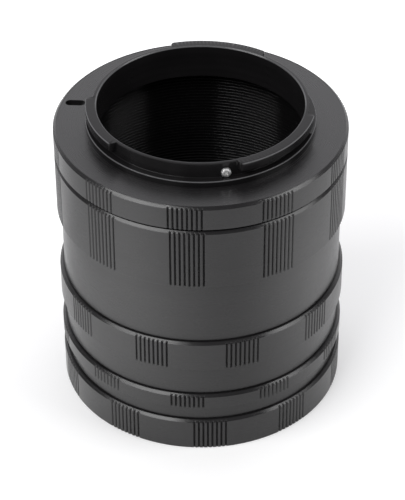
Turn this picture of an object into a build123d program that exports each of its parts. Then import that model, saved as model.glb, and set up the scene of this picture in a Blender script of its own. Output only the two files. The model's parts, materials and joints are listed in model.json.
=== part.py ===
from build123d import *

import os
from math import cos, degrees, radians, sin

# Macro extension tube. A ring that locks on the camera, tubes of 28, 14 and 7 mm and a
# ring that holds the lens are screwed into one stack. It stands on the lens seat, camera
# side up: +Z is the light path, and the origin is the centre of the lens seat. The viewer
# of the front stands at -Y. Lengths are in millimetres and angles in degrees from +X.

# Lengths along the light path
LENS_RING_LENGTH = 7.5
TUBE_7_LENGTH = 7.0
TUBE_14_LENGTH = 14.0
TUBE_28_LENGTH = 28.0
CAMERA_RING_LENGTH = 6.0

# Outside of the rings and tubes
OUTER_R = 30.0
WALL_STEP = 0.9
RING_EDGE = 0.65
BAND_EDGE = 0.5

# Knurled bands: patches of short axial grooves round each ring and tube
TUBE_7_BAND = 3.4
TUBE_14_BAND = 7.0
TUBE_28_BAND = 13.5
PATCHES = 10
GROOVES = 8
GROOVE_ANGLE = 1.8
GROOVE_WIDTH = 0.5
GROOVE_DEPTH = 0.38
CAMERA_PATCH_ANGLE = -96.1
TUBE_28_PATCH_ANGLE = -95.4
TUBE_14_PATCH_ANGLE = -110.0
TUBE_7_PATCH_ANGLE = -95.8
LENS_PATCH_ANGLE = -86.8

# Screwed joints: a spigot on top of each piece goes into the socket of the next
SPIGOT_INSET = 2.5
SPIGOT_WALL = 1.7
SPIGOT_LENGTH = 3.0
SOCKET_SPARE = 0.2
THREAD_PLAY = 0.05

# Bayonet on the camera side: shoulder, neck and three keyed claws
MOUTH_INSET = 8.95
NECK_WALL = 0.85
CLAW_REACH = 1.4
CLAW_THICKNESS = 1.7
SHOULDER_HEIGHT = 1.3
SHOULDER_OVER_CLAW = 0.1
BAYONET_HEIGHT = 4.5

# Where each claw starts, and how wide it is, counted from the lock
CLAWS = ((9.8, 45.4), (123.5, 59.7), (248.1, 52.6))

# Bayonet on the lens side: the same pattern turned inwards, with play
RADIAL_PLAY = 0.15
PASSING_PLAY = 0.3
AXIAL_PLAY = 0.3
CLAW_SIDE_ANGLE = 2.0
POCKET_SPARE = 0.1
PLATE_INSET = 1.8
PLATE_PLAY = 0.05
RIM_RELIEF = 0.1
WEB_INSET = 8.4

# Lock: a sprung pin in the lens seat drops into a slot of the mating face
LOCK_INSET = 3.4
LOCK_PIN_R = 0.9
PIN_PLAY = 0.05
PIN_OUT = 1.4
PIN_IN = 0.3
PIN_HOLE_ROOF = 0.3
PIN_CAP = 0.2
CAMERA_LOCK_ANGLE = 165.4
LOCK_SLOT_LENGTH = 4.1
LOCK_SLOT_PLAY = 0.075
LOCK_SLOT_DEPTH = 1.5
LOCK_SLOT_YAW = 9.3
LENS_LOCK_PATCH = 3.5

# Release knob that draws the pin in through a slot in the rim
ARM_R = 0.5
ARM_CLEARANCE = 0.3
ARM_BITE = 0.6
ARM_FIT = 0.02
KNOB_R = 1.3
KNOB_LENGTH = 1.6
KNOB_GAP = 0.3
KNOB_EDGE = 0.2
KNOB_SLOT_PLAY = 0.1

# Spring behind the lock pin
COIL_R = 0.6
COIL_WIRE_R = 0.11
COIL_WIRE_SIDES = 6
COIL_TURNS = 3
COIL_CHORDS = 12
COIL_GAP = 0.02

# Leaf springs behind the lens claws
LEAF_LENGTH = 15.0
LEAF_FOOT = 2.0
LEAF_THICKNESS = 0.2
LEAF_BOW = 0.5
LEAF_MARGIN = 0.25

# Screws that hold the lens bayonet plate
PLATE_SCREWS = 4
PLATE_SCREW_ANGLE = 45.0
PLATE_SCREW_INSET = 4.1
PLATE_SCREW_R = 0.8
PLATE_SCREW_HEAD_R = 1.5
PLATE_SCREW_HEAD = 0.8
PLATE_SCREW_BITE = 2.2
PLATE_SCREW_SUNK = 0.05
SCREW_FIT = 0.02

# Stop screw on the neck of the camera bayonet
STOP_SCREW_ANGLE = 282.7
STOP_HEAD_R = 1.0
STOP_HEAD_PROUD = 0.6
STOP_HEAD_SUNK = 0.15
STOP_SHANK_R = 0.6
STOP_TIP_GAP = 0.1
STOP_CLEAR = 0.05

# How far a cutter runs past the face that it opens
CUT_OVER = 1.0

# Heights of the seats, from the lens seat up
TUBE_7_BASE = LENS_RING_LENGTH
TUBE_14_BASE = TUBE_7_BASE + TUBE_7_LENGTH
TUBE_28_BASE = TUBE_14_BASE + TUBE_14_LENGTH
CAMERA_BASE = TUBE_28_BASE + TUBE_28_LENGTH
CAMERA_SEAT = CAMERA_BASE + CAMERA_RING_LENGTH

# Radii and heights that follow from the sizes above
WALL_R = OUTER_R - WALL_STEP
BAND_ROOT_R = WALL_R - GROOVE_DEPTH
SPIGOT_R = OUTER_R - SPIGOT_INSET
TUBE_BORE_R = SPIGOT_R - SPIGOT_WALL
SOCKET_R = SPIGOT_R + THREAD_PLAY
SOCKET_DEPTH = SPIGOT_LENGTH + SOCKET_SPARE
THROAT_R = OUTER_R - MOUTH_INSET
NECK_R = THROAT_R + NECK_WALL
CLAW_R = NECK_R + CLAW_REACH
SHOULDER_R = CLAW_R + SHOULDER_OVER_CLAW
LENS_CLAW_R = NECK_R + RADIAL_PLAY
LENS_PILOT_R = SHOULDER_R + RADIAL_PLAY
PILOT_DEPTH = SHOULDER_HEIGHT + AXIAL_PLAY / 3
LENS_CLAW_THICKNESS = BAYONET_HEIGHT - CLAW_THICKNESS - SHOULDER_HEIGHT - AXIAL_PLAY
PLATE_THICKNESS = PILOT_DEPTH + LENS_CLAW_THICKNESS
POCKET_R = CLAW_R + PASSING_PLAY + POCKET_SPARE
POCKET_TOP = BAYONET_HEIGHT + AXIAL_PLAY
PLATE_R = OUTER_R - PLATE_INSET
WEB_BORE_R = OUTER_R - WEB_INSET
LOCK_R = OUTER_R - LOCK_INSET
PLATE_SCREW_CIRCLE_R = OUTER_R - PLATE_SCREW_INSET
PATCH_STEP = 360 / PATCHES
LENS_LOCK_ANGLE = LENS_PATCH_ANGLE + LENS_LOCK_PATCH * PATCH_STEP
ARM_Z = PLATE_THICKNESS + PIN_OUT + ARM_R + ARM_CLEARANCE
PIN_TOP = ARM_Z + ARM_R + PIN_CAP
PIN_HOLE_TOP = LENS_RING_LENGTH - PIN_HOLE_ROOF
LOCK_SLOT_WIDTH = 2 * (LOCK_PIN_R + LOCK_SLOT_PLAY)


def turned(points):
    """The solid of revolution about Z of an outline given as (radius, height) points."""
    outline = Polyline(*[(r, 0, z) for r, z in points], close=True)
    return revolve(make_face(outline), Axis.Z)


def tube_bar(inner_r, outer_r, low, high):
    """A plain ring between two radii and two heights."""
    return turned([(inner_r, low), (outer_r, low), (outer_r, high), (inner_r, high)])


def sector(inner_r, outer_r, low, high, start, width):
    """The part of a plain ring from the angle start, width degrees on."""
    section = Polyline(
        (inner_r, 0, low), (outer_r, 0, low), (outer_r, 0, high), (inner_r, 0, high), close=True
    )
    return Rot(0, 0, start) * revolve(make_face(section), Axis.Z, revolution_arc=width)


def post(radius, low, high, at_r=0.0, at_angle=0.0):
    """An upright cylinder between two heights, at a radius and an angle from the axis."""
    place = Pos(at_r * cos(radians(at_angle)), at_r * sin(radians(at_angle)), low)
    return place * Cylinder(radius, high - low, align=(Align.CENTER, Align.CENTER, Align.MIN))


def spoke(radius, inner, outer, height, angle):
    """A cylinder that lies along a radius of the stack, from one distance to another."""
    bar = Cylinder(radius, outer - inner, align=(Align.CENTER, Align.CENTER, Align.MIN))
    return Rot(0, 0, angle) * Pos(inner, 0, height) * Rot(0, 90, 0) * bar


def polar(radius, angle):
    """The point of the XY plane at a radius and an angle from +X."""
    return radius * cos(radians(angle)), radius * sin(radians(angle))


def knurled_band(patch_at, low, high, edge):
    """A ring with patches of upright V grooves round its rim and a chamfered top edge."""
    half = degrees(GROOVE_WIDTH / 2 / OUTER_R)
    rim = []
    for patch in range(PATCHES):
        first = patch_at + patch * PATCH_STEP - GROOVE_ANGLE * (GROOVES - 1) / 2
        points = []
        for groove in range(GROOVES):
            at = first + groove * GROOVE_ANGLE
            points += [
                polar(OUTER_R, at - half),
                polar(OUTER_R - GROOVE_DEPTH, at),
                polar(OUTER_R, at + half),
            ]
        leave, meet = at + half, first + PATCH_STEP - half
        plain = [polar(OUTER_R, angle) for angle in (leave, (leave + meet) / 2, meet)]
        rim += [Polyline(*points), ThreePointArc(*plain)]
    disc = extrude(Pos(0, 0, low) * make_face(rim), high - low)
    blank = turned(
        [
            (BAND_ROOT_R, low),
            (OUTER_R + CUT_OVER, low),
            (OUTER_R + CUT_OVER, high - edge - CUT_OVER),
            (OUTER_R - edge, high),
            (BAND_ROOT_R, high),
        ]
    )
    return disc & blank


def tube(base, length, band, patch_at):
    """One tube: socket below, plain wall, knurled band and a spigot on top."""
    top = base + length
    body = turned(
        [
            (SOCKET_R, base),
            (WALL_R, base),
            (WALL_R, top),
            (SPIGOT_R, top),
            (SPIGOT_R, top + SPIGOT_LENGTH),
            (TUBE_BORE_R, top + SPIGOT_LENGTH),
            (TUBE_BORE_R, base + SOCKET_DEPTH),
            (SOCKET_R, base + SOCKET_DEPTH),
        ]
    )
    return body + knurled_band(patch_at, top - band, top, BAND_EDGE)


def stop_screw_height():
    """Height of the stop screw's middle: its head just clears the shoulder."""
    return CAMERA_SEAT + SHOULDER_HEIGHT + STOP_HEAD_R + STOP_CLEAR


def lock_slot():
    """The round-ended slot in the camera seat that the camera's lock pin drops into."""
    pill = SlotOverall(LOCK_SLOT_LENGTH, LOCK_SLOT_WIDTH)
    cutter = extrude(pill, -LOCK_SLOT_DEPTH)
    return (
        Rot(0, 0, CAMERA_LOCK_ANGLE) * Pos(LOCK_R, 0, CAMERA_SEAT) * Rot(0, 0, LOCK_SLOT_YAW) * cutter
    )


def camera_ring():
    """Ring with the male bayonet, the camera seat and the lock slot, one turned piece."""
    base, seat = CAMERA_BASE, CAMERA_SEAT
    rim = seat + BAYONET_HEIGHT
    body = turned(
        [
            (SOCKET_R, base),
            (WALL_R, base),
            (WALL_R, seat),
            (SHOULDER_R, seat),
            (SHOULDER_R, seat + SHOULDER_HEIGHT),
            (NECK_R, seat + SHOULDER_HEIGHT),
            (NECK_R, rim),
            (THROAT_R, rim),
            (THROAT_R, base + SOCKET_DEPTH),
            (SOCKET_R, base + SOCKET_DEPTH),
        ]
    )
    body += knurled_band(CAMERA_PATCH_ANGLE, base, seat, RING_EDGE)
    for start, width in CLAWS:
        first = CAMERA_LOCK_ANGLE + start
        body += sector(NECK_R - NECK_WALL / 2, CLAW_R, rim - CLAW_THICKNESS, rim, first, width)
    screw_z = stop_screw_height()
    cutters = [
        lock_slot(),
        spoke(STOP_HEAD_R + SCREW_FIT, NECK_R - STOP_HEAD_SUNK, SHOULDER_R, screw_z, STOP_SCREW_ANGLE),
        spoke(STOP_SHANK_R + SCREW_FIT, THROAT_R - NECK_WALL, NECK_R, screw_z, STOP_SCREW_ANGLE),
    ]
    return body.cut(*cutters)


def stop_screw():
    """Screw on the neck that stops the turn of the bayonet against a claw."""
    height, seat_r = stop_screw_height(), NECK_R - STOP_HEAD_SUNK
    head = spoke(STOP_HEAD_R, seat_r, NECK_R + STOP_HEAD_PROUD, height, STOP_SCREW_ANGLE)
    return head + spoke(STOP_SHANK_R, THROAT_R + STOP_TIP_GAP, seat_r, height, STOP_SCREW_ANGLE)


def screw_angles():
    """Angles of the screws round the lens bayonet plate."""
    first = LENS_LOCK_ANGLE + PLATE_SCREW_ANGLE
    return [first + n * 360 / PLATE_SCREWS for n in range(PLATE_SCREWS)]


def lens_ring():
    """Ring on the lens side: recess for the plate, room for the claws, web and spigot."""
    top, floor = LENS_RING_LENGTH, PLATE_THICKNESS
    body = turned(
        [
            (PLATE_R + PLATE_PLAY, RIM_RELIEF),
            (WALL_R, RIM_RELIEF),
            (WALL_R, top),
            (SPIGOT_R, top),
            (SPIGOT_R, top + SPIGOT_LENGTH),
            (TUBE_BORE_R, top + SPIGOT_LENGTH),
            (TUBE_BORE_R, top),
            (WEB_BORE_R, top),
            (WEB_BORE_R, POCKET_TOP),
            (POCKET_R, POCKET_TOP),
            (POCKET_R, floor),
            (PLATE_R + PLATE_PLAY, floor),
        ]
    )
    body += knurled_band(LENS_PATCH_ANGLE, RIM_RELIEF, top, BAND_EDGE)
    cutters = [post(LOCK_PIN_R + PIN_PLAY, 0, PIN_HOLE_TOP, LOCK_R, LENS_LOCK_ANGLE)]
    for angle in screw_angles():
        depth = PLATE_THICKNESS + PLATE_SCREW_BITE + SOCKET_SPARE
        cutters.append(post(PLATE_SCREW_R + SCREW_FIT, 0, depth, PLATE_SCREW_CIRCLE_R, angle))
    slot_low = ARM_Z - PIN_OUT - ARM_R - KNOB_SLOT_PLAY
    slot_high = ARM_Z + PIN_IN + ARM_R + KNOB_SLOT_PLAY
    window = SlotOverall(slot_high - slot_low, 2 * (ARM_R + KNOB_SLOT_PLAY), rotation=90)
    side = Plane(
        origin=(LOCK_R, 0, (slot_low + slot_high) / 2), x_dir=(0, 1, 0), z_dir=(1, 0, 0)
    )
    cutters.append(Rot(0, 0, LENS_LOCK_ANGLE) * extrude(side * window, LOCK_INSET + CUT_OVER))
    return body.cut(*cutters)


def bayonet_plate():
    """Steel plate of the lens side: seat face, pilot bore and three inward claws."""
    body = tube_bar(POCKET_R - POCKET_SPARE, PLATE_R, 0, PLATE_THICKNESS)
    body += tube_bar(LENS_PILOT_R, POCKET_R, 0, PILOT_DEPTH)
    for start, width in CLAWS:
        first = LENS_LOCK_ANGLE + start + CLAW_SIDE_ANGLE
        reach = width - 2 * CLAW_SIDE_ANGLE
        body += sector(LENS_CLAW_R, POCKET_R, PILOT_DEPTH, PLATE_THICKNESS, first, reach)
    pin_hole_top = PLATE_THICKNESS + CUT_OVER
    cutters = [post(LOCK_PIN_R + PIN_PLAY, -CUT_OVER, pin_hole_top, LOCK_R, LENS_LOCK_ANGLE)]
    for angle in screw_angles():
        cutters.append(screw_body(angle, SCREW_FIT, -CUT_OVER))
    return body.cut(*cutters)


def screw_body(angle, grown, foot):
    """A plate screw without its recess, grown all round; foot is where its head starts."""
    head_r, shank_r = PLATE_SCREW_HEAD_R + grown, PLATE_SCREW_R + grown
    face, neck = PLATE_SCREW_SUNK, PLATE_SCREW_SUNK + PLATE_SCREW_HEAD
    tip = PLATE_THICKNESS + PLATE_SCREW_BITE
    outline = [(0, foot), (head_r, foot)]
    if foot < face:
        outline.append((head_r, face))
    outline += [(shank_r, neck), (shank_r, tip), (0, tip)]
    place = Rot(0, 0, angle) * Pos(PLATE_SCREW_CIRCLE_R, 0, 0)
    return place * turned(outline)


def plate_screw(angle):
    """One countersunk screw of the lens bayonet plate, head down."""
    return screw_body(angle, 0, PLATE_SCREW_SUNK)


def lock_pin():
    """Pin in the lens seat, with a cross hole for the knob's arm."""
    pin = post(LOCK_PIN_R, 0, PIN_TOP, LOCK_R, LENS_LOCK_ANGLE)
    hole = spoke(ARM_R + ARM_FIT, LOCK_R - ARM_BITE, OUTER_R, ARM_Z, LENS_LOCK_ANGLE)
    return pin - hole


def release_knob():
    """Knob outside the rim, and the arm that carries it on the lock pin."""
    back = OUTER_R + KNOB_GAP
    arm = spoke(ARM_R, LOCK_R - ARM_BITE, back, ARM_Z, LENS_LOCK_ANGLE)
    head = Cylinder(KNOB_R, KNOB_LENGTH, align=(Align.CENTER, Align.CENTER, Align.MIN))
    head = chamfer(head.faces().sort_by(Axis.Z)[-1].edges(), KNOB_EDGE)
    return arm + Rot(0, 0, LENS_LOCK_ANGLE) * Pos(back, 0, ARM_Z) * Rot(0, 90, 0) * head


def lock_spring():
    """Coil that pushes the lock pin out of the seat."""
    low = PIN_TOP + COIL_GAP + COIL_WIRE_R
    high = PIN_HOLE_TOP - COIL_GAP - COIL_WIRE_R
    steps = COIL_TURNS * COIL_CHORDS
    points = [
        (*polar(COIL_R, 360 * n / COIL_CHORDS), (high - low) * n / steps) for n in range(steps + 1)
    ]
    path = Polyline(*points)
    start = Plane(origin=path @ 0, z_dir=path % 0)
    wire = start * RegularPolygon(COIL_WIRE_R, COIL_WIRE_SIDES)
    coil = sweep(wire, path, transition=Transition.RIGHT)
    return Rot(0, 0, LENS_LOCK_ANGLE) * Pos(LOCK_R, 0, low) * coil


def leaf_spring(start, width):
    """Bowed leaf that lies behind one lens claw and presses the lens home."""
    half, foot = LEAF_LENGTH / 2, LEAF_LENGTH / 2 - LEAF_FOOT
    lower = [(-half, 0), (-foot, 0), (0, LEAF_BOW), (foot, 0), (half, 0)]
    upper = [(y, z + LEAF_THICKNESS) for y, z in lower]
    edges = []
    for a, b, c, d, e in (lower, upper):
        edges += [Line(a, b), ThreePointArc(b, c, d), Line(d, e)]
    edges += [Line(lower[0], upper[0]), Line(lower[-1], upper[-1])]
    inner, outer = LENS_CLAW_R + LEAF_MARGIN, POCKET_R - LEAF_MARGIN
    side = Plane(origin=(0, 0, PLATE_THICKNESS), x_dir=(0, 1, 0), z_dir=(1, 0, 0))
    strip = extrude(side * make_face(edges), outer)
    band = tube_bar(inner, outer, PLATE_THICKNESS, PLATE_THICKNESS + LEAF_BOW + LEAF_THICKNESS)
    return Rot(0, 0, LENS_LOCK_ANGLE + start + width / 2) * (strip & band)


def build():
    """Every piece of the object, by the name of its node."""
    parts = {
        "lens_ring": lens_ring(),
        "bayonet_plate": bayonet_plate(),
        "lock_pin": lock_pin(),
        "release_knob": release_knob(),
        "lock_spring": lock_spring(),
        "tube_7": tube(TUBE_7_BASE, TUBE_7_LENGTH, TUBE_7_BAND, TUBE_7_PATCH_ANGLE),
        "tube_14": tube(TUBE_14_BASE, TUBE_14_LENGTH, TUBE_14_BAND, TUBE_14_PATCH_ANGLE),
        "tube_28": tube(TUBE_28_BASE, TUBE_28_LENGTH, TUBE_28_BAND, TUBE_28_PATCH_ANGLE),
        "camera_ring": camera_ring(),
        "stop_screw": stop_screw(),
    }
    for number, angle in enumerate(screw_angles(), 1):
        parts[f"plate_screw_{number}"] = plate_screw(angle)
    for number, (start, width) in enumerate(CLAWS, 1):
        parts[f"claw_spring_{number}"] = leaf_spring(start, width)
    return parts


os.makedirs("parts", exist_ok=True)
for name, shape in build().items():
    solids = shape.solids()
    piece = solids[0] if len(solids) == 1 else Compound(solids)
    piece.label = name
    export_step(piece, f"parts/{name}.step")
    print(name, len(solids), "solid", round(piece.volume, 1), "mm3")
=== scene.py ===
"""The look of the macro extension tube: turned rings, knurling, bayonet, screws and studio."""

import json
import logging
import math
from collections.abc import Sequence
from dataclasses import dataclass, field, replace
from enum import Enum

import bmesh
import bpy
from bpy.types import ID, Material, Mesh, Node, NodeSocket, NodeTree, Object
from mathutils import Matrix, Vector

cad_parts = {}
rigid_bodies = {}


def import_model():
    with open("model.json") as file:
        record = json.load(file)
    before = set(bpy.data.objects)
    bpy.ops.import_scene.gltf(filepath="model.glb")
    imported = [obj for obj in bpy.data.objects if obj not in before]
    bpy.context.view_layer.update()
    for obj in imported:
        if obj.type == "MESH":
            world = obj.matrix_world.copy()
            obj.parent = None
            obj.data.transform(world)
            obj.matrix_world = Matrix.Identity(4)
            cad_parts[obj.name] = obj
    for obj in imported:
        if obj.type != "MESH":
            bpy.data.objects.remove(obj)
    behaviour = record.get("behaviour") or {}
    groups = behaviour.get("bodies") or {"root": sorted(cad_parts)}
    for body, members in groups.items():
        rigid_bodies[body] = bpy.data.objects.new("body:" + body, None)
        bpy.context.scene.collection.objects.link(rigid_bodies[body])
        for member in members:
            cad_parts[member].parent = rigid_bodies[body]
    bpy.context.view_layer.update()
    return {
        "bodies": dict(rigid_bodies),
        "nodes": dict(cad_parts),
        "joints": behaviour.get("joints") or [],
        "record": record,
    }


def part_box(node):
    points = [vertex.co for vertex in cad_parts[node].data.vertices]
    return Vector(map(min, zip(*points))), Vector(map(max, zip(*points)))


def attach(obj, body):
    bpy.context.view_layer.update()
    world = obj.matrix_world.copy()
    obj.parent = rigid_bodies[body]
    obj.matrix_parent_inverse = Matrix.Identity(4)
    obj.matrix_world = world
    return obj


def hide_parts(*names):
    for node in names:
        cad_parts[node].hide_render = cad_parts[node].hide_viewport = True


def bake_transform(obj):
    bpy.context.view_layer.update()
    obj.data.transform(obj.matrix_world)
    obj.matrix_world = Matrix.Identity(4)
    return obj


log = logging.getLogger("extension_tube")

Pair = tuple[float, float]
Pairs = Sequence[Pair]
Colour = tuple[float, float, float]
Faces = list[tuple[int, ...]]

# Lengths are in millimetres and angles in degrees from +X, unless a name says otherwise.
MM = 0.001

# Sizes that several pieces share
OUTER_R = 30.0
SPIGOT_INSET = 2.5
SPIGOT_WALL = 1.7
SPIGOT_LENGTH = 3.0
SOCKET_SPARE = 0.2
THREAD_PLAY = 0.05
LOCK_INSET = 3.4
BAND_EDGE = 0.5
SPIGOT_R = OUTER_R - SPIGOT_INSET
TUBE_BORE_R = SPIGOT_R - SPIGOT_WALL
SOCKET_R = SPIGOT_R + THREAD_PLAY
SOCKET_DEPTH = SPIGOT_LENGTH + SOCKET_SPARE
LOCK_R = OUTER_R - LOCK_INSET

# Bayonet of the camera ring
MOUTH_INSET = 8.95
MOUTH_EDGE = 0.2
NECK_WALL = 0.85
CLAW_REACH = 1.4
SHOULDER_OVER_CLAW = 0.1
SHOULDER_HEIGHT = 1.3
BAYONET_HEIGHT = 4.5
SEAT_HEIGHT = 62.5
THROAT_R = OUTER_R - MOUTH_INSET
NECK_R = THROAT_R + NECK_WALL
CLAW_R = NECK_R + CLAW_REACH
SHOULDER_R = CLAW_R + SHOULDER_OVER_CLAW

# Knurling: patches of upright grooves
PATCHES = 10
GROOVES = 8
GROOVE_ANGLE = 1.8
GROOVE_WIDTH = 0.5
GROOVE_DEPTH = 0.3

# Fine work that only the look has
EDGE_BREAK = 0.07
GAP_DEPTH = 1.0
GAP_STEEP = 0.8
GAP_LIP = 0.1
THREAD_PITCH = 0.75
THREAD_DEPTH = 0.3
THREAD_START = 0.3
THREAD_END = SPIGOT_LENGTH - 0.2
RIB_PITCH = 0.75
RIB_DEPTH = 0.5

# Forms that repeat: place, as a share of the width or the pitch, and share of the depth
GROOVE_SECTION: Pairs = (
    (-0.58, 0.0), (-0.44, 0.1), (-0.16, 0.86), (0.0, 1.0), (0.16, 0.86), (0.44, 0.1), (0.58, 0.0)
)
THREAD_SECTION: Pairs = ((0.12, 0.0), (0.45, 1.0), (0.58, 1.0), (0.9, 0.0))
RIB_SECTION: Pairs = (
    (0.06, 0.0), (0.45, 0.945), (0.467, 0.974), (0.484, 0.993), (0.5, 1.0),
    (0.516, 0.993), (0.533, 0.974), (0.55, 0.945), (0.94, 0.0),
)
# How far a round's middle stays back from the corner, as a share of the round
ROUND_MIDDLE = 0.3
# Round of a broken edge: shares of the break along the side before and the side after
EDGE_SECTION: Pairs = ((1.0, 0.0), (0.5, 0.134), (0.134, 0.5), (0.0, 1.0))
# End of a claw: degrees from its side and share of its reach
CLAW_END: Pairs = ((0.0, 0.0), (0.25, 0.42), (0.7, 0.72), (1.3, 0.92), (2.1, 1.0))

# Fineness of the meshes
PLAIN_COLUMNS = 180
REST_COLUMNS = 8
CHAMFER_ROWS = 4
ROUND_STEPS = 24
SCREW_STEPS = 48
SHARP_ANGLE = 32.0
KEPT_SHARP_ANGLE = 30.0
EDGE_ANGLE = 50.0
EDGE_ROOM = 3.0
MERGE_GAP = 0.002
SLIVER = 0.001
CUT_OVER = 1.0
# Turns the knob slot by a hair, so that none of its points falls on an edge of the ring
CUTTER_TURN = 0.05

# Marks that every finish has; NOISE_RANGE is where most of a noise lies
NOISE_RANGE = (0.3, 0.7)
BROAD_LINES = 12
BROAD_TONE = (0.9, 1.1)
MOTTLE_SCALE = 0.12
MOTTLE_TONE = (0.88, 1.12)
LINE_ROUGHNESS = (-0.03, 0.03)
POLISH_OVER = 0.4
POLISH_FADE = 0.1
QUARTER_TURN = 0.25
# Sockets of a mix of colours: share, first and second colour, and the result
MIX_INPUTS = (0, 6, 7)
MIX_OUTPUT = 2

# Where on the axis the camera and the lamps aim
AIM_HEIGHT = 33.0


class Spacing(Enum):
    """How the points of one turned row are spread round the axis."""

    PLAIN = "plain"
    KNURLED = "knurled"
    CLAWED = "clawed"


class Slot(Enum):
    """The material slots of the record."""

    ANODISED_BLACK = "anodised_black"
    PLATE_CHROME = "plate_chrome"
    STEEL_SCREW = "steel_screw"
    POLISHED_STEEL = "polished_steel"
    SPRING_STEEL = "spring_steel"
    SPRING_BRONZE = "spring_bronze"


@dataclass(frozen=True)
class Column:
    """One upright line of points of a turned piece.

    Attributes:
        angle: Place round the axis.
        cut: How far a groove cuts in from the outside here.
        claw: Share of the claw's reach that stands here, from 0 to 1.
    """

    angle: float
    cut: float = 0.0
    claw: float = 0.0


@dataclass(frozen=True)
class Corner:
    """One corner of a turned outline.

    Attributes:
        radius: Distance from the axis.
        height: Height over the lens seat.
        spacing: How the points of its row are spread.
        reach: How far the claws stand out over the radius on this row.
    """

    radius: float
    height: float
    spacing: Spacing = Spacing.PLAIN
    reach: float = 0.0


def polar(angle: float, radius: float, height: float = 0.0) -> Vector:
    """Gives the point at an angle, a distance from the axis and a height."""
    turn = math.radians(angle)
    return Vector((radius * math.cos(turn), radius * math.sin(turn), height))


def turned_by(angle: float, axis: str) -> Matrix:
    """Gives the turn by an angle about an axis."""
    return Matrix.Rotation(math.radians(angle), 4, axis)


def turned_place(angle: float, radius: float, height: float) -> Matrix:
    """Gives the place at an angle, a radius and a height, in metres, its X axis outwards."""
    return turned_by(angle, "Z") @ Matrix.Translation(Vector((radius, 0, height)) * MM)


def between(start: float, end: float, steps: int, claw: float = 0.0) -> list[Column]:
    """Gives the columns that divide a stretch evenly, without those at its ends."""
    return [Column(start + (end - start) * n / steps, 0.0, claw) for n in range(1, steps)]


@dataclass
class Turning:
    """Turns outlines into meshes whose rows may have different spacings.

    Attributes:
        patch_angle: Middle of the first patch of grooves.
        claws: Start and width of each claw.
    """

    patch_angle: float = 0.0
    claws: Pairs = ()

    def plain_columns(self) -> list[Column]:
        """Spreads points evenly."""
        return [Column(360 * n / PLAIN_COLUMNS) for n in range(PLAIN_COLUMNS)]

    def knurled_columns(self) -> list[Column]:
        """Spreads points so that each groove has lips, flanks and a floor.

        Returns:
            The columns of all patches and of the plain stretches between them.
        """
        width = math.degrees(GROOVE_WIDTH / OUTER_R)
        lip = GROOVE_SECTION[-1][0] * width
        step = 360 / PATCHES
        columns = []
        for patch in range(PATCHES):
            first = self.patch_angle + patch * step - GROOVE_ANGLE * (GROOVES - 1) / 2
            for groove in range(GROOVES):
                middle = first + groove * GROOVE_ANGLE
                columns += [
                    Column(middle + side * width, share * GROOVE_DEPTH)
                    for side, share in GROOVE_SECTION
                ]
            columns += between(middle + lip, first + step - lip, REST_COLUMNS)
        return columns

    def clawed_columns(self) -> list[Column]:
        """Spreads points so that each claw has upright ends with a rounded corner.

        Returns:
            The columns of the claws and of the gaps, about one for each degree.
        """
        first = self.claws[0][0]
        nexts = [start for start, _ in self.claws[1:]] + [first + 360]
        round_end = CLAW_END[-1][0]
        columns = []
        for (start, width), gap_end in zip(self.claws, nexts):
            end = start + width
            columns += [Column(start + turn, 0.0, share) for turn, share in CLAW_END]
            columns += between(start + round_end, end - round_end, int(width - round_end), 1.0)
            columns += [Column(end - turn, 0.0, share) for turn, share in reversed(CLAW_END)]
            columns += between(end, gap_end, int(gap_end - end))
        return columns

    def columns(self, spacing: Spacing) -> list[Column]:
        """Gives the columns of one spacing.

        Args:
            spacing: Which spread is wanted.

        Returns:
            The columns in order of their angle, from 0 to 360 degrees.
        """
        makers = {
            Spacing.PLAIN: self.plain_columns,
            Spacing.KNURLED: self.knurled_columns,
            Spacing.CLAWED: self.clawed_columns,
        }
        found = [replace(column, angle=column.angle % 360) for column in makers[spacing]()]
        return sorted(found, key=lambda column: column.angle)

    def solid(self, name: str, outline: list[Corner]) -> Object:
        """Turns a closed outline about the axis.

        Args:
            name: Name of the new object.
            outline: The corners, in order.

        Returns:
            The closed mesh, shaded smooth between its sharp edges.
        """
        spread = {spacing: self.columns(spacing) for spacing in {c.spacing for c in outline}}
        points, rows = [], []
        for corner in outline:
            columns = spread[corner.spacing]
            rows.append(([c.angle for c in columns], len(points)))
            for column in columns:
                radius = corner.radius + corner.reach * column.claw
                if column.cut:
                    radius = min(radius, OUTER_R - column.cut)
                points.append(polar(column.angle, radius, corner.height) * MM)
        faces = []
        for n, row in enumerate(rows):
            faces += stitched(row, rows[(n + 1) % len(rows)])
        return solid_mesh(name, points, faces)


def stitched(low: tuple[list[float], int], high: tuple[list[float], int]) -> Faces:
    """Joins two rings of points, which may have different numbers of points.

    Args:
        low: Angles of the first ring and the number of its first point.
        high: The same of the second ring.

    Returns:
        The faces, as numbers of points.
    """
    (a, a0), (b, b0) = low, high
    if a == b:
        count = len(a)
        return [(a0 + n, a0 + (n + 1) % count, b0 + (n + 1) % count, b0 + n) for n in range(count)]
    next_a, next_b = a[1:] + [a[0] + 360, math.inf], b[1:] + [b[0] + 360, math.inf]
    faces, i, j = [], 0, 0
    while i < len(a) or j < len(b):
        at_a, at_b = a0 + i % len(a), b0 + j % len(b)
        if next_a[i] <= next_b[j]:
            faces.append((at_a, a0 + (i + 1) % len(a), at_b))
            i += 1
        else:
            faces.append((at_a, b0 + (j + 1) % len(b), at_b))
            j += 1
    return faces


def stacked(rows: int, around: int) -> Faces:
    """Joins rows of points into a closed tube with a cap at each end.

    Args:
        rows: Number of rows, one after the other.
        around: Number of points in each row.

    Returns:
        The faces, as numbers of points.
    """
    faces = []
    for foot in range(0, (rows - 1) * around, around):
        for n in range(around):
            a, b = foot + n, foot + (n + 1) % around
            faces.append((a, b, b + around, a + around))
    return faces + [tuple(range(around)), tuple(range((rows - 1) * around, rows * around))]


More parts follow.
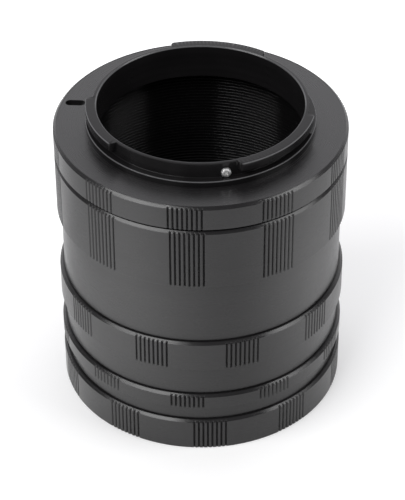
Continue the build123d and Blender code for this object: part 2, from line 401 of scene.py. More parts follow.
def placed(name: str, data: ID) -> Object:
    """Puts a new object into the scene.

    Args:
        name: Name of the object.
        data: Its mesh, light or camera.

    Returns:
        The object.
    """
    new = bpy.data.objects.new(name, data)
    bpy.context.scene.collection.objects.link(new)
    return new


def solid_mesh(name: str, points: list[Vector], faces: Faces) -> Object:
    """Makes a closed mesh object with outward normals.

    Args:
        name: Name of the new object.
        points: The vertices, in metres.
        faces: The faces, as numbers of vertices.

    Returns:
        The object, linked to the scene.
    """
    mesh = bpy.data.meshes.new(name)
    mesh.from_pydata(points, [], faces)
    work = bmesh.new()
    work.from_mesh(mesh)
    bmesh.ops.remove_doubles(work, verts=work.verts, dist=MERGE_GAP * MM)
    bmesh.ops.dissolve_degenerate(work, edges=work.edges, dist=SLIVER * MM)
    bmesh.ops.recalc_face_normals(work, faces=work.faces)
    work.to_mesh(mesh)
    work.free()
    smooth(mesh, SHARP_ANGLE)
    return placed(name, mesh)


def smooth(mesh: Mesh, angle: float) -> None:
    """Shades a mesh smooth, with sharp edges above an angle."""
    mesh.shade_smooth()
    mesh.set_sharp_from_angle(angle=math.radians(angle))


def apply_modifier(piece: Object, kind: str, **settings: object) -> None:
    """Puts a modifier on a mesh and makes its result the mesh.

    Args:
        piece: The mesh object.
        kind: Type of the modifier, such as BOOLEAN.
        settings: The modifier's properties.
    """
    modifier = piece.modifiers.new(kind.lower(), kind)
    for key, value in settings.items():
        setattr(modifier, key, value)
    bpy.context.view_layer.objects.active = piece
    bpy.ops.object.modifier_apply(modifier=modifier.name)


def cut(piece: Object, cutter: Object, place: Matrix) -> None:
    """Cuts one mesh out of another and removes the cutter.

    Args:
        piece: The mesh that is cut.
        cutter: The mesh that goes.
        place: Where the cutter's own origin goes, in metres.
    """
    cutter.data.transform(place)
    apply_modifier(piece, "BOOLEAN", operation="DIFFERENCE", solver="EXACT", object=cutter)
    bpy.data.objects.remove(cutter)
    smooth(piece.data, SHARP_ANGLE)


def prism(name: str, outline: Pairs, low: float, high: float) -> Object:
    """Makes an upright prism from its section, as (x, y) points, and its two heights."""
    points = [Vector((x, y, z)) * MM for z in (low, high) for x, y in outline]
    return solid_mesh(name, points, stacked(2, len(outline)))


def pill(length: float, width: float, steps: int = ROUND_STEPS // 2) -> Pairs:
    """Gives the outline of a slot with round ends.

    Args:
        length: Length over both ends, along X.
        width: Width, along Y.
        steps: Number of straight steps in each round end.

    Returns:
        The outline as (x, y) points.
    """
    half, radius = (length - width) / 2, width / 2
    points = []
    for side, start in ((1, -90), (-1, 90)):
        for n in range(steps + 1):
            turn = math.radians(start + 180 * n / steps)
            points.append((side * half + radius * math.cos(turn), radius * math.sin(turn)))
    return points


def drill(radius: float, low: float, high: float) -> Object:
    """Makes the cutter of a round hole."""
    return prism("hole", pill(2 * radius, 2 * radius, ROUND_STEPS)[:-1], low, high)


def eased(corners: list[Corner], edge: float = EDGE_BREAK) -> list[Corner]:
    """Breaks the sharp corners of a closed outline, as a file does.

    Args:
        corners: The outline, in order.
        edge: How far back along each side the break starts.

    Returns:
        The outline with each sharp corner replaced by a small round.
    """
    out = []
    for n, corner in enumerate(corners):
        before, after = corners[n - 1], corners[(n + 1) % len(corners)]
        here = Vector((corner.radius, corner.height))
        back = Vector((before.radius, before.height)) - here
        ahead = Vector((after.radius, after.height)) - here
        narrow = min(back.length, ahead.length) < EDGE_ROOM * edge
        if narrow or back.angle(-ahead) < math.radians(EDGE_ANGLE):
            out.append(corner)
            continue
        one, two = back.normalized() * edge, ahead.normalized() * edge
        for first, second in EDGE_SECTION:
            point = here + one * first + two * second
            out.append(Corner(point.x, point.y, corner.spacing, corner.reach))
    return out


def repeated(
    section: Pairs, radius: float, depth: float, low: float, high: float, pitch: float
) -> list[Corner]:
    """Gives the rows of a form that repeats upwards.

    Args:
        section: The form within one pitch.
        radius: Radius where the section's share is 0.
        depth: How far outwards it lies where the share is 1; negative for inwards.
        low: Height where the first form starts.
        high: Height where the last one ends.
        pitch: Height of one form, which is stretched a little to fill the height.

    Returns:
        The corners, from low to high.
    """
    count = int((high - low) / pitch)
    step = (high - low) / count
    return [
        Corner(radius + depth * share, low + (n + along) * step)
        for n in range(count)
        for along, share in section
    ]


def screw_thread(radius: float, low: float, high: float, depth: float) -> list[Corner]:
    """Gives the rows of a thread, from low to high; its roots lie outwards by the depth."""
    turns = repeated(THREAD_SECTION, radius, depth, low, high, THREAD_PITCH)
    return [Corner(radius, low), *turns, Corner(radius, high)]


def spigot(top: float) -> list[Corner]:
    """Gives the rows of a threaded spigot, from the seat at its foot to its bore."""
    thread = screw_thread(SPIGOT_R, top + THREAD_START, top + THREAD_END, -THREAD_DEPTH)
    return [Corner(SPIGOT_R, top), *thread, Corner(TUBE_BORE_R, top + SPIGOT_LENGTH)]


def socket(base: float) -> list[Corner]:
    """Gives the rows of a threaded socket, from its floor down to the lower face."""
    thread = screw_thread(SOCKET_R, base + THREAD_START, base + SOCKET_DEPTH, THREAD_DEPTH)
    return [*thread[::-1], Corner(SOCKET_R + EDGE_BREAK, base)]


def chamfered_rim(top: float, edge: float) -> list[Corner]:
    """Gives the rows of the chamfer over a knurled band, out to in.

    Args:
        top: Height of the top face.
        edge: Size of the chamfer.

    Returns:
        Rows close enough for the grooves to run out through the chamfer.
    """
    insets = [GROOVE_DEPTH * n / CHAMFER_ROWS for n in range(CHAMFER_ROWS + 1)]
    rows = [Corner(OUTER_R - inset, top - edge + inset, Spacing.KNURLED) for inset in insets]
    return [*rows, Corner(OUTER_R - edge, top)]


def shadow_gap(radius: float, base: float, height: float, spacing: Spacing) -> list[Corner]:
    """Gives the fine relief at the foot of a piece that makes its parting line dark.

    Args:
        radius: Outer radius of the piece over the relief.
        base: Height of the piece's lower face.
        height: Height of the relief.
        spacing: How the points of the upper row are spread.

    Returns:
        The rows from the lower face up to the outer wall.
    """
    return [
        Corner(radius - GAP_DEPTH, base),
        Corner(radius - GAP_DEPTH, base + GAP_STEEP * height),
        Corner(radius - GAP_LIP, base + height, spacing),
        Corner(radius, base + height + GAP_LIP, spacing),
    ]


@dataclass
class Graph:
    """Builds a tree of shader nodes.

    Attributes:
        tree: The node tree of a material or of the world.
    """

    tree: NodeTree

    def node(self, kind: str, settings: dict | None = None, **sockets: object) -> Node:
        """Adds a node.

        Args:
            kind: Type of the node, such as ShaderNodeBump.
            settings: Properties of the node itself.
            sockets: Values or output sockets for its inputs; underscores stand for spaces.

        Returns:
            The new node.
        """
        new = self.tree.nodes.new(kind)
        for key, value in (settings or {}).items():
            setattr(new, key, value)
        for key, value in sockets.items():
            self.feed(new, key.replace("_", " "), value)
        return new

    def feed(self, node: Node, socket: str | int, value: object) -> None:
        """Sets or links one input.

        Args:
            node: The node whose input is fed.
            socket: Name or number of the input.
            value: A plain value or an output socket.
        """
        if isinstance(value, NodeSocket):
            self.tree.links.new(value, node.inputs[socket])
        else:
            node.inputs[socket].default_value = value

    def maths(self, operation: str, *values: object) -> NodeSocket:
        """Adds a maths node that gives a number, from numbers or from vectors.

        Args:
            operation: What it does with its inputs, such as ADD or LENGTH.
            values: Its inputs, in order.

        Returns:
            The result's socket.
        """
        of_vectors = operation in ("DISTANCE", "DOT_PRODUCT", "LENGTH")
        kind = "ShaderNodeVectorMath" if of_vectors else "ShaderNodeMath"
        new = self.node(kind, {"operation": operation})
        for n, value in enumerate(values):
            self.feed(new, n, value)
        return new.outputs["Value"]

    def scaled(self, vector: object, factor: object) -> NodeSocket:
        """Multiplies a vector or a colour by a number.

        Args:
            vector: The vector or colour, plain or as a socket.
            factor: The number, plain or as a socket.

        Returns:
            The result's socket.
        """
        new = self.node("ShaderNodeVectorMath", {"operation": "SCALE"}, Scale=factor)
        self.feed(new, 0, vector)
        return new.outputs[0]

    def ramp(
        self,
        value: NodeSocket,
        ends: Pair,
        results: tuple[object, object],
        smooth_ends: bool = False,
    ) -> NodeSocket:
        """Maps one range to another and holds the result beyond its ends.

        Args:
            value: The socket of the value.
            ends: The values at which the ramp starts and ends.
            results: The results there, plain or as sockets.
            smooth_ends: Whether the ramp eases in and out.

        Returns:
            The result's socket.
        """
        new = self.node(
            "ShaderNodeMapRange",
            {"interpolation_type": "SMOOTHSTEP" if smooth_ends else "LINEAR"},
            Value=value,
            From_Min=ends[0],
            From_Max=ends[1],
            To_Min=results[0],
            To_Max=results[1],
        )
        return new.outputs[0]

    def noise(self, place: NodeSocket, scale: float, detail: float) -> NodeSocket:
        """Adds a noise and gives the socket of its value."""
        new = self.node("ShaderNodeTexNoise", Vector=place, Scale=scale, Detail=detail)
        return new.outputs[0]


@dataclass(frozen=True)
class Finish:
    """A machined surface: its colour, its gloss and the marks of the tool.

    Attributes:
        name: Name of the material.
        slot: The record's slot that it stands for; not used.
        colour: Linear base colour.
        metallic: 1 for bare metal, 0 for an anodised skin.
        roughness: Lowest and highest roughness.
        ior: Index of refraction.
        lines: Tool marks per millimetre.
        line_depth: Depth of the tool marks.
        grain: Grains per millimetre.
        grain_depth: Depth of the grain.
        brushed: How far the tool marks stretch a highlight across themselves, from 0 to 1.
        polished_r: Radius within which the surface is smoother.
        polish: Roughness there, as a share of the roughness outside.
        bore_shade_tone: Colour there, as a share of the colour outside; this darkening is painted shade
            inside the bore.
        wear_and_highlight_edges: Radius and height of each lighter edge, partly from handling's wear and
            partly a painted highlight.
        wear_and_highlight_colour: Linear colour of these edges, wear and painted highlight together.
        wear_and_highlight_width: Distances from the edge between which the wear and the painted highlight
            fade.
    """

    name: str
    slot: Slot
    colour: Colour
    metallic: float = 0.0
    roughness: Pair = (0.24, 0.31)
    ior: float = 1.5
    lines: float = 9.0
    line_depth: float = 0.0009
    grain: float = 14.0
    grain_depth: float = 0.0008
    brushed: float = 0.6
    polished_r: float = 0.0
    polish: float = 1.0
    bore_shade_tone: float = 1.0
    wear_and_highlight_edges: Pairs = ()
    wear_and_highlight_colour: Colour = (0.1, 0.1, 0.103)
    wear_and_highlight_width: Pair = (0.078, 0.26)

    def within(self, graph: Graph, away: NodeSocket, share: float) -> NodeSocket:
        """Gives a share where the distance from the axis is within polished_r, and 1 outside."""
        ends = (self.polished_r - POLISH_FADE, self.polished_r + POLISH_FADE)
        return graph.ramp(away, ends, (share, 1.0), smooth_ends=True)

    def skin_colour(self, graph: Graph, across: NodeSocket, tone: NodeSocket) -> NodeSocket:
        """Gives the colour, lighter where an edge has wear and where a highlight is painted on it.

        Args:
            graph: The node tree that is built.
            across: Distance from the axis and height of a point.
            tone: How light the colour is at that point.

        Returns:
            The colour's socket.
        """
        colour = graph.scaled(self.colour, tone)
        if not self.wear_and_highlight_edges:
            return colour
        # Edges are lighter in colour, partly from wear and partly as a painted highlight.
        wear_and_highlight = 0.0
        for radius, height in self.wear_and_highlight_edges:
            apart = graph.maths("DISTANCE", across, (radius, height, 0.0))
            near = graph.ramp(apart, self.wear_and_highlight_width, (1.0, 0.0), smooth_ends=True)
            wear_and_highlight = graph.maths("MAXIMUM", wear_and_highlight, near)
        mixed = graph.node("ShaderNodeMix", {"data_type": "RGBA"})
        wear_and_highlight_colour = (*self.wear_and_highlight_colour, 1.0)
        for number, value in zip(MIX_INPUTS, (wear_and_highlight, colour, wear_and_highlight_colour)):
            graph.feed(mixed, number, value)
        return mixed.outputs[MIX_OUTPUT]

    def material(self) -> Material:
        """Builds the finish.

        Returns:
            The material.
        """
        made = bpy.data.materials.new(self.name)
        made.use_nodes = True
        graph = Graph(made.node_tree)
        place = graph.node("ShaderNodeTexCoord").outputs["Object"]
        in_mm = graph.scaled(place, 1 / MM)
        axes = graph.node("ShaderNodeSeparateXYZ", Vector=in_mm).outputs
        flat = graph.node("ShaderNodeCombineXYZ", X=axes[0], Y=axes[1]).outputs[0]
        away = graph.maths("LENGTH", flat)
        across = graph.node("ShaderNodeCombineXYZ", X=away, Y=axes[2]).outputs[0]
        lines = graph.noise(across, self.lines, detail=3.0)
        broad = graph.noise(across, self.lines / BROAD_LINES, detail=1.0)
        grain = graph.noise(in_mm, self.grain, detail=2.0)
        mottle = graph.noise(in_mm, MOTTLE_SCALE, detail=3.0)
        tone = graph.maths(
            "MULTIPLY",
            graph.ramp(mottle, NOISE_RANGE, MOTTLE_TONE),
            graph.ramp(broad, NOISE_RANGE, BROAD_TONE),
        )
        # Within polished_r the colour is darkened: painted shade inside the bore.
        tone = graph.maths("MULTIPLY", tone, self.within(graph, away, self.bore_shade_tone))
        rough = graph.maths(
            "ADD",
            graph.ramp(mottle, NOISE_RANGE, self.roughness),
            graph.ramp(lines, NOISE_RANGE, LINE_ROUGHNESS),
        )
        marks = graph.node("ShaderNodeBump", Height=lines, Distance=self.line_depth * MM)
        skin = graph.node("ShaderNodeBump", Height=grain, Distance=self.grain_depth * MM)
        graph.feed(skin, "Normal", marks.outputs[0])
        round_axis = graph.node("ShaderNodeTangent", {"direction_type": "RADIAL", "axis": "Z"})
        shader = made.node_tree.nodes["Principled BSDF"]
        for name, value in (
            ("Base Color", self.skin_colour(graph, across, tone)),
            ("Roughness", graph.maths("MULTIPLY", rough, self.within(graph, away, self.polish))),
            ("Normal", skin.outputs[0]),
            ("Metallic", self.metallic),
            ("IOR", self.ior),
            ("Tangent", round_axis.outputs[0]),
            ("Anisotropic", self.brushed),
            ("Anisotropic Rotation", QUARTER_TURN),
        ):
            graph.feed(shader, name, value)
        return made


# The tube skin's colour is darker inside the bore: painted shade.
TUBE_SKIN = Finish(
    "tube_skin",
    Slot.ANODISED_BLACK,
    (0.0095, 0.009, 0.0095),
    polished_r=TUBE_BORE_R + POLISH_OVER,
    polish=0.55,
    bore_shade_tone=0.35,
)
SEAT_SKIN = replace(TUBE_SKIN, name="seat_skin", polished_r=0.0)
# The bayonet's mouth, claw and shoulder edges are lighter: partly wear, partly painted highlight.
BAYONET_SKIN = replace(
    TUBE_SKIN,
    name="bayonet_skin",
    ior=1.28,
    polished_r=OUTER_R,
    bore_shade_tone=1.0,
    wear_and_highlight_edges=(
        (THROAT_R + MOUTH_EDGE / 2, SEAT_HEIGHT + BAYONET_HEIGHT - MOUTH_EDGE / 2),
        (CLAW_R, SEAT_HEIGHT + BAYONET_HEIGHT),
        (SHOULDER_R, SEAT_HEIGHT + SHOULDER_HEIGHT),
    ),
)
PLATE_CHROME = Finish(
    "plate_chrome", Slot.PLATE_CHROME, (0.62, 0.61, 0.59), 1.0, (0.2, 0.28), grain_depth=0.0003
)
SCREW_STEEL = Finish(
    "screw_steel", Slot.STEEL_SCREW, (0.93, 0.93, 0.92), 1.0, (0.36, 0.46), lines=16, brushed=0.0
)
PIN_STEEL = Finish(
    "pin_steel", Slot.POLISHED_STEEL, (0.6, 0.59, 0.58), 1.0, (0.14, 0.22), lines=16, grain_depth=0.0003
)
COIL_STEEL = Finish(
    "coil_steel", Slot.SPRING_STEEL, (0.42, 0.41, 0.4), 1.0, (0.26, 0.36), lines=20, grain_depth=0.0004
)
CLAW_BRONZE = Finish(
    "claw_bronze", Slot.SPRING_BRONZE, (0.62, 0.36, 0.17), 1.0, (0.24, 0.34), lines=20, grain_depth=0.0004
)


@dataclass
class Workshop:
    """Holds the frame and the materials made so far, and hands finished pieces to the frame."""

    frame: dict
    materials: dict[str, Material] = field(default_factory=dict)

    def dress(self, piece: Object, finish: Finish) -> None:
        """Gives a piece its finish.

        Args:
            piece: The object.
            finish: The finish that it takes.
        """
        if finish.name not in self.materials:
            self.materials[finish.name] = finish.material()
        piece.data.materials.clear()
        piece.data.materials.append(self.materials[finish.name])
        log.info("%s wears %s: %d faces", piece.name, finish.name, len(piece.data.polygons))

    def stand_in(self, piece: Object, node: str, body: str, finish: Finish) -> None:
        """Puts a piece in the place of a CAD node.

        Args:
            piece: The new object.
            node: The node that it stands for.
            body: The body that it moves with.
            finish: The finish that it takes.
        """
        apply_modifier(piece, "WEIGHTED_NORMAL", keep_sharp=True)
        self.dress(piece, finish)
        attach(piece, body)
        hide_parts(node)


@dataclass
class ScrewedTube:
    """One of the three tubes: socket, wall, knurled band, spigot and baffle ribs."""

    node: str
    band_height: float
    patch_angle: float
    wall_step: float = 0.9
    foot_gap: float = 0.08

    def outline(self, base: float, top: float) -> list[Corner]:
        """Gives its section.

        Args:
            base: Height of its lower face.
            top: Height of the seat on its top.

        Returns:
            The closed outline.
        """
        wall_r, foot, floor = OUTER_R - self.wall_step, top - self.band_height, base + SOCKET_DEPTH
        outside = [
            *shadow_gap(wall_r, base, self.foot_gap, Spacing.PLAIN),
            Corner(wall_r, foot),
            Corner(OUTER_R, foot, Spacing.KNURLED),
            *chamfered_rim(top, BAND_EDGE),
            *spigot(top),
        ]
        ribs = repeated(RIB_SECTION, TUBE_BORE_R, -RIB_DEPTH, floor, top + SPIGOT_LENGTH, RIB_PITCH)
        return [*eased(outside), *ribs[::-1], Corner(TUBE_BORE_R, floor), *socket(base)]

    def build(self, shop: Workshop) -> None:
        """Makes the tube and puts it in the place of its CAD node.

        Args:
            shop: The workshop that dresses it.
        """
        low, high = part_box(self.node)
        outline = self.outline(low.z / MM, high.z / MM - SPIGOT_LENGTH)
        piece = Turning(self.patch_angle).solid(f"{self.node}_turned", outline)
        shop.stand_in(piece, self.node, self.node, TUBE_SKIN)


@dataclass
class CrossScrew:
    """A screw with a round head and a cross recess."""

    name: str
    node: str
    body: str
    # Radius and height of each corner, from the tip of the shank up to the head
    outline: Pairs
    head_r: float
    arm_width: float = 0.3
    recess_depth: float = 0.35
    # Length of an arm of the cross, as a share of the head's radius
    arm_reach: float = 0.62

    def build(self, shop: Workshop, place: Matrix) -> None:
        """Makes the screw, head up along +Z, and puts it in its place.

        Args:
            shop: The workshop that dresses it.
            place: Where its origin and its axis go.
        """
        points = [
            polar(360 * n / SCREW_STEPS, radius, height) * MM
            for radius, height in self.outline
            for n in range(SCREW_STEPS)
        ]
        piece = solid_mesh(self.name, points, stacked(len(self.outline), SCREW_STEPS))
        near, far = self.arm_width / 2, self.arm_reach * self.head_r
        cross, arm = [], [(near, near), (near, far), (-near, far)]
        for _ in range(4):
            cross += arm
            arm = [(-y, x) for x, y in arm]
        face = self.outline[-1][1]
        recess = prism("recess", cross, face - self.recess_depth, face + CUT_OVER)
        cut(piece, recess, Matrix())
        piece.data.transform(place)
        shop.stand_in(piece, self.node, self.body, SCREW_STEEL)


@dataclass
class LockCoil:
    """The coil that pushes the lock pin out, wound here in one fixed shape that stays put when the pin
    moves.
    """

    angle: float
    node: str = "lock_spring"
    radius: float = 0.6
    wire_r: float = 0.11
    turns: int = 3
    steps: int = 32
    sides: int = 10

    def build(self, shop: Workshop) -> None:
        """Winds the coil and puts it in the place of its CAD node.

        Args:
            shop: The workshop that dresses it.
        """
        low, high = (corner.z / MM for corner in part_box(self.node))
        count = self.turns * self.steps
        rise = (high - low - 2 * self.wire_r) / count
        wire = [polar(360 * side / self.sides, self.wire_r) for side in range(self.sides)]
        points = [
            polar(360 * n / self.steps, self.radius + side.x, rise * n + side.y) * MM
            for n in range(count + 1)
            for side in wire
        ]
        coil = solid_mesh("lock_coil", points, stacked(count + 1, self.sides))
        place = turned_place(self.angle, LOCK_R, low + self.wire_r)
        coil.data.transform(place)
        shop.dress(coil, COIL_STEEL)
        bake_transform(coil)
        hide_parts(self.node)


@dataclass
class StopScrew:
    """The small bright screw on the neck of the male bayonet."""

    angle: float = 282.7
    cross_turn: float = 20.0
    head_r: float = 1.0
    proud: float = 0.6
    sunk: float = 0.15
    shank_r: float = 0.6
    tip_gap: float = 0.1
    clear: float = 0.05
    fit: float = 0.02
    edge: float = 0.22
    edge_middle: float = 0.07

    def place(self, seat: float) -> Matrix:
        """Gives its place on the neck over the camera seat, its axis outwards."""
        height = seat + SHOULDER_HEIGHT + self.head_r + self.clear
        return turned_place(self.angle, NECK_R, height) @ turned_by(90, "Y")

    def cut_holes(self, bayonet: Object, seat: float) -> None:
        """Cuts the seat of its head and the hole of its shank into the bayonet."""
        cut(bayonet, drill(self.head_r + self.fit, -self.sunk, CLAW_REACH), self.place(seat))
        cut(bayonet, drill(self.shank_r + self.fit, -2 * NECK_WALL, 0.0), self.place(seat))

    def build(self, shop: Workshop, body: str, seat: float) -> None:
        """Makes the screw.

        Args:
            shop: The workshop that dresses it.
            body: The body that it moves with.
            seat: Height of the camera seat.
        """
        outline = [
            (self.shank_r, self.tip_gap - NECK_WALL),
            (self.shank_r, -self.sunk),
            (self.head_r, -self.sunk),
            (self.head_r, self.proud - self.edge),
            (self.head_r - self.edge_middle, self.proud - self.edge_middle),
            (self.head_r - self.edge, self.proud),
        ]
        screw = CrossScrew("stop_screw_head", "stop_screw", body, outline, self.head_r)
        screw.build(shop, self.place(seat) @ turned_by(self.cross_turn, "Z"))


@dataclass
class CameraRing:
    """The ring with the camera seat, the male bayonet and the stop screw."""

    node: str = "camera_ring"
    patch_angle: float = -96.1
    chamfer: float = 0.65
    foot_gap: float = 0.6
    bayonet_edge: float = 0.13
    bayonet_sunk: float = 0.5
    # Start of each claw, counted from the lock slot, and its width
    claws: Pairs = ((9.8, 45.4), (123.5, 59.7), (248.1, 52.6))
    claw_height: float = 1.7
    claw_round: float = 0.15
    lock_angle: float = 165.4
    slot_length: float = 4.1
    slot_width: float = 1.95
    slot_depth: float = 1.5
    slot_yaw: float = 9.3

    def seat_outline(self, base: float, seat: float) -> list[Corner]:
        """Gives the section of the ring with its camera seat.

        Args:
            base: Height of its lower face.
            seat: Height of the camera seat.

        Returns:
            The closed outline.
        """
        outside = [
            *shadow_gap(OUTER_R, base, self.foot_gap, Spacing.KNURLED),
            *chamfered_rim(seat, self.chamfer),
        ]
        return [
            *eased(outside, self.bayonet_edge),
            Corner(SHOULDER_R, seat),
            Corner(SHOULDER_R, seat - self.bayonet_sunk),
            Corner(NECK_R, seat - self.bayonet_sunk),
            Corner(NECK_R, base + SOCKET_DEPTH),
            *socket(base),
        ]

    def bayonet_outline(self, base: float, seat: float) -> list[Corner]:
        """Gives the section of the throat, the shoulder, the neck and the claws.

        Args:
            base: Height of the ring's lower face.
            seat: Height of the camera seat.

        Returns:
            The closed outline.
        """
        rim, floor = seat + BAYONET_HEIGHT, base + SOCKET_DEPTH
        halfway = ROUND_MIDDLE * self.claw_round
        claw_rows = (
            (0.0, rim - self.claw_height, 0.0),
            (0.0, rim - self.claw_height, CLAW_REACH),
            (0.0, rim - self.claw_round, CLAW_REACH),
            (halfway, rim - halfway, CLAW_REACH),
            (self.claw_round, rim, CLAW_REACH),
        )
        outside = [
            Corner(NECK_R, floor),
            Corner(NECK_R, seat - self.bayonet_sunk),
            Corner(SHOULDER_R, seat - self.bayonet_sunk),
            Corner(SHOULDER_R, seat + SHOULDER_HEIGHT),
            Corner(NECK_R, seat + SHOULDER_HEIGHT),
            *(Corner(NECK_R - inset, z, Spacing.CLAWED, reach) for inset, z, reach in claw_rows),
            Corner(THROAT_R + MOUTH_EDGE, rim),
            Corner(THROAT_R, rim - MOUTH_EDGE),
        ]
        return [*eased(outside, self.bayonet_edge), Corner(THROAT_R, floor)]

    def build(self, shop: Workshop) -> None:
        """Makes the ring with its lock slot, the bayonet and the stop screw.

        Args:
            shop: The workshop that dresses them.
        """
        low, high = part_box(self.node)
        base, seat = low.z / MM, high.z / MM - BAYONET_HEIGHT
        ring = Turning(self.patch_angle).solid("camera_seat", self.seat_outline(base, seat))
        slot = prism("slot", pill(self.slot_length, self.slot_width), -self.slot_depth, CUT_OVER)
        cut(ring, slot, turned_place(self.lock_angle, LOCK_R, seat) @ turned_by(self.slot_yaw, "Z"))
        shop.stand_in(ring, self.node, self.node, SEAT_SKIN)
        claws = tuple((self.lock_angle + start, width) for start, width in self.claws)
        bayonet = Turning(claws=claws).solid("camera_bayonet", self.bayonet_outline(base, seat))
        screw = StopScrew()
        screw.cut_holes(bayonet, seat)
        shop.stand_in(bayonet, self.node, self.node, BAYONET_SKIN)
        screw.build(shop, self.node, seat)


@dataclass
class PlateScrews:
    """The countersunk screws that hold the plate, heads down."""

    first_angle: float
    plate_height: float
    count: int = 4
    inset: float = 4.1
    shank_r: float = 0.8
    head_r: float = 1.5
    head_height: float = 0.8
    bite: float = 2.2
    sunk: float = 0.05
    tip_taper: Pair = (0.15, 0.2)
    rim_height: float = 0.03
    rim_taper: Pair = (0.05, 0.08)
    cross_turn: float = 31.0

    def build(self, shop: Workshop, body: str) -> None:
        """Makes the screws.

        Args:
            shop: The workshop that dresses them.
            body: The body that they move with.
        """
        tip, face = -self.plate_height - self.bite, -self.sunk
        outline = [
            (self.shank_r - self.tip_taper[0], tip),
            (self.shank_r, tip + self.tip_taper[1]),
            (self.shank_r, face - self.head_height),
            (self.head_r - self.rim_taper[0], face - self.rim_height),
            (self.head_r - self.rim_taper[1], face),
        ]
        for n in range(self.count):
            angle = self.first_angle + n * 360 / self.count
            node = f"plate_screw_{n + 1}"
            place = turned_place(angle, OUTER_R - self.inset, 0.0) @ turned_by(180, "X")
            screw = CrossScrew(f"{node}_head", node, body, outline, self.head_r)
            screw.build(shop, place @ turned_by(self.cross_turn * n, "Z"))


@dataclass
class LensRing:
    """The ring on the lens side, its plate, plate screws, claw springs and lock."""

    node: str = "lens_ring"
    patch_angle: float = -86.8
    rim_relief: float = 0.1
    plate_recess_inset: float = 1.75
    plate_height: float = 2.6
    claw_room_inset: float = 6.3
    claw_room_top: float = 4.8
    web_inset: float = 8.4
    lock_angle: float = 39.2
    pin_hole_r: float = 0.95
    pin_hole_top: float = 7.2
    knob_slot_heights: Pair = (2.8, 5.7)
    knob_slot_width: float = 1.2
    lock_to_screw: float = 45.0

    def outline(self, top: float) -> list[Corner]:
        """Gives the ring's section.

        Args:
            top: Height of the seat on its top.

        Returns:
            The closed outline.
        """
        inside = (
            (self.web_inset, top),
            (self.web_inset, self.claw_room_top),
            (self.claw_room_inset, self.claw_room_top),
            (self.claw_room_inset, self.plate_height),
            (self.plate_recess_inset, self.plate_height),
            (self.plate_recess_inset, self.rim_relief),
        )
        rim = Corner(OUTER_R, self.rim_relief, Spacing.KNURLED)
        outside = [rim, *chamfered_rim(top, BAND_EDGE), *spigot(top), Corner(TUBE_BORE_R, top)]
        return eased([*outside, *(Corner(OUTER_R - inset, z) for inset, z in inside)])

    def build(self, shop: Workshop) -> None:
        """Makes the ring, the plate's screws and the lock's coil, and dresses the other pieces.

        Args:
            shop: The workshop that dresses them.
        """
        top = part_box(self.node)[1].z / MM - SPIGOT_LENGTH
        piece = Turning(self.patch_angle).solid("lens_ring_turned", self.outline(top))
        pin_hole = drill(self.pin_hole_r, 0.0, self.pin_hole_top)
        cut(piece, pin_hole, turned_place(self.lock_angle, LOCK_R, 0.0))
        low, high = self.knob_slot_heights
        slot = prism("slot", pill(high - low, self.knob_slot_width), 0.0, LOCK_INSET + CUT_OVER)
        place = turned_place(self.lock_angle + CUTTER_TURN, LOCK_R, (low + high) / 2)
        cut(piece, slot, place @ turned_by(90, "Y"))
        shop.stand_in(piece, self.node, self.node, TUBE_SKIN)
        PlateScrews(self.lock_angle + self.lock_to_screw, self.plate_height).build(shop, self.node)
        LockCoil(self.lock_angle).build(shop)
        for node, finish in (
            ("bayonet_plate", PLATE_CHROME),
            ("lock_pin", PIN_STEEL),
            ("release_knob", TUBE_SKIN),
            *((f"claw_spring_{n}", CLAW_BRONZE) for n in (1, 2, 3)),
        ):
            kept = shop.frame["nodes"][node]
            shop.dress(kept, finish)
            smooth(kept.data, KEPT_SHARP_ANGLE)


@dataclass(frozen=True)
class Softbox:
    """A flat lamp that faces the part, in metres; at a radiance of 1 it shows as white."""

    name: str
    azimuth: float
    elevation: float
    distance: float
    width: float
    height: float
    radiance: float

    def build(self) -> None:
        """Adds the lamp."""
        lamp = bpy.data.lights.new(self.name, "AREA")
        lamp.shape, lamp.size, lamp.size_y = "RECTANGLE", self.width, self.height
        lamp.energy = self.radiance * math.pi * self.width * self.height
        lift = math.radians(self.elevation)
        away = polar(self.azimuth, math.cos(lift), math.sin(lift))
        holder = placed(self.name, lamp)
        holder.location = Vector((0, 0, AIM_HEIGHT * MM)) + away * self.distance
        holder.rotation_euler = away.to_track_quat("Z", "Y").to_euler()


@dataclass(frozen=True)
class LightPool:
    """A brighter place of the floor, in metres, whose glow fades out at its radius."""

    middle: Pair
    radius: float
    glow: float


@dataclass(frozen=True)
class Viewpoint:
    """The camera, where the photo was taken from."""

    distance: float = 430.41
    elevation: float = 37.242
    tilt_down: float = 0.393
    turn_right: float = 0.04
    roll: float = 0.23
    lens: float = 146.51
    sensor: float = 36.0
    clip_in_metres: Pair = (0.01, 20.0)

    def build(self) -> None:
        """Adds the camera and looks through it."""
        data = bpy.data.cameras.new("camera")
        data.lens, data.sensor_width = self.lens, self.sensor
        data.clip_start, data.clip_end = self.clip_in_metres
        lift = math.radians(self.elevation)
        away = Vector((0, -math.cos(lift), math.sin(lift))) * self.distance
        camera = placed("camera", data)
        camera.matrix_world = (
            Matrix.Translation((Vector((0, 0, AIM_HEIGHT)) + away) * MM)
            @ turned_by(-self.turn_right, "Z")
            @ turned_by(90 - self.elevation - self.tilt_down, "X")
            @ turned_by(-self.roll, "Z")
        )
        bpy.context.scene.camera = camera


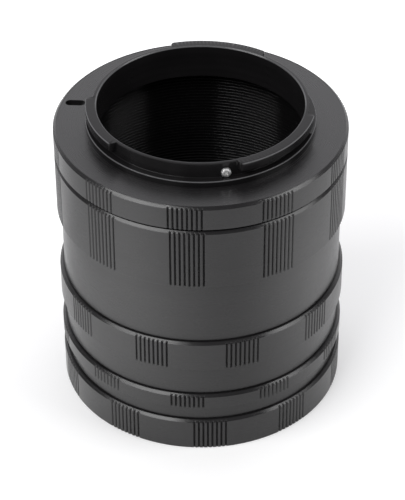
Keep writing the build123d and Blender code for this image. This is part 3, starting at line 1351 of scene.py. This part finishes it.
@dataclass
class Studio:
    """White floor, dim room with a bright backdrop behind the part, two softboxes, the camera.

    Attributes:
        floor_side: Length of the floor's sides, in metres.
        floor_tone: Reflectance of the floor.
        floor_roughness: Roughness of the floor.
        floor_glow: Light that the floor adds of its own towards the camera, near and far.
        floor_reach: The distances from the axis of these two, in metres.
        mirrored_glow: The same in reflections.
        pools: Where the floor is brighter in reflections.
        backdrop: Brightness of the surroundings behind the part.
        backdrop_side: Direction in which the backdrop stands.
        backdrop_edge: Where it fades, from first to last, as the cosine from that direction.
        room: Brightness of the rest of the surroundings.
        air: Colour of their light.
        boxes: The softboxes.
    """

    floor_side: float = 6.0
    floor_tone: float = 0.82
    floor_roughness: float = 0.9
    floor_glow: Pair = (0.22, 0.75)
    floor_reach: Pair = (0.03, 0.3)
    mirrored_glow: float = 0.15
    pools: tuple[LightPool, ...] = (
        LightPool((-0.06, -0.062), 0.09, 1.0),
        LightPool((0.078, -0.03), 0.07, 0.55),
    )
    backdrop: float = 1.4
    backdrop_side: tuple[float, float, float] = (0.0, 0.94, 0.34)
    backdrop_edge: Pair = (0.35, 0.85)
    room: float = 0.25
    air: tuple[float, float, float, float] = (0.975, 0.97, 1.0, 1.0)
    boxes: tuple[Softbox, ...] = (
        Softbox("left_softbox", 219.0, 46.0, 1.2, 1.02, 0.45, 7.2),
        Softbox("right_softbox", -12.0, 40.0, 1.2, 0.7, 0.43, 5.6),
    )

    def build_floor(self) -> None:
        """Adds the floor, white paper that glows a little."""
        half = self.floor_side / 2
        corners = [Vector((x * half, y * half, 0)) for x, y in ((-1, -1), (1, -1), (1, 1), (-1, 1))]
        mesh = bpy.data.meshes.new("floor")
        mesh.from_pydata(corners, [], [(0, 1, 2, 3)])
        paper = bpy.data.materials.new("floor_paper")
        paper.use_nodes = True
        graph = Graph(paper.node_tree)
        rays = graph.node("ShaderNodeLightPath").outputs
        place = graph.node("ShaderNodeTexCoord").outputs["Object"]
        mirrored = self.mirrored_glow
        for pool in self.pools:
            apart = graph.maths("DISTANCE", place, (*pool.middle, 0.0))
            near = graph.ramp(apart, (0.0, pool.radius), (pool.glow, 0.0), smooth_ends=True)
            mirrored = graph.maths("ADD", mirrored, near)
        away = graph.maths("LENGTH", place)
        seen = graph.ramp(away, self.floor_reach, self.floor_glow)
        glow = graph.maths(
            "ADD",
            graph.maths("MULTIPLY", rays["Is Camera Ray"], seen),
            graph.maths("MULTIPLY", rays["Is Glossy Ray"], mirrored),
        )
        shader = paper.node_tree.nodes["Principled BSDF"]
        for name, value in (
            ("Base Color", (self.floor_tone,) * 3 + (1.0,)),
            ("Roughness", self.floor_roughness),
            ("Specular IOR Level", 0.0),
            ("Emission Strength", glow),
            ("Emission Color", (1.0, 1.0, 1.0, 1.0)),
        ):
            graph.feed(shader, name, value)
        mesh.materials.append(paper)
        floor = placed("floor", mesh)

    def build_world(self) -> None:
        """Lights the part from the backdrop and dimly from the room; the camera sees white."""
        world = bpy.data.worlds.new("studio")
        world.use_nodes = True
        bpy.context.scene.world = world
        graph = Graph(world.node_tree)
        place = graph.node("ShaderNodeTexCoord").outputs["Generated"]
        facing = graph.maths("DOT_PRODUCT", place, self.backdrop_side)
        light = graph.ramp(facing, self.backdrop_edge, (self.room, self.backdrop), smooth_ends=True)
        rays = graph.node("ShaderNodeLightPath").outputs
        seen = graph.ramp(rays["Is Camera Ray"], (0.0, 1.0), (light, 1.0))
        background = world.node_tree.nodes["Background"]
        graph.feed(background, "Color", self.air)
        graph.feed(background, "Strength", seen)

    def build(self) -> None:
        """Adds everything that isn't part of the object."""
        self.build_floor()
        self.build_world()
        for box in self.boxes:
            box.build()
        Viewpoint().build()
        bpy.context.scene.view_settings.view_transform = "Standard"
        log.info("studio is set")


def main() -> None:
    """Builds every piece in the order of the stack, then the studio."""
    logging.basicConfig(level=logging.INFO, format="%(message)s")
    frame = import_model()
    shop = Workshop(frame)
    for piece in (
        LensRing(),
        ScrewedTube("tube_7", 3.4, -95.8),
        ScrewedTube("tube_14", 7.0, -110.0),
        ScrewedTube("tube_28", 13.5, -95.4),
        CameraRing(),
    ):
        piece.build(shop)
    Studio().build()


if __name__ == "__main__":
    main()
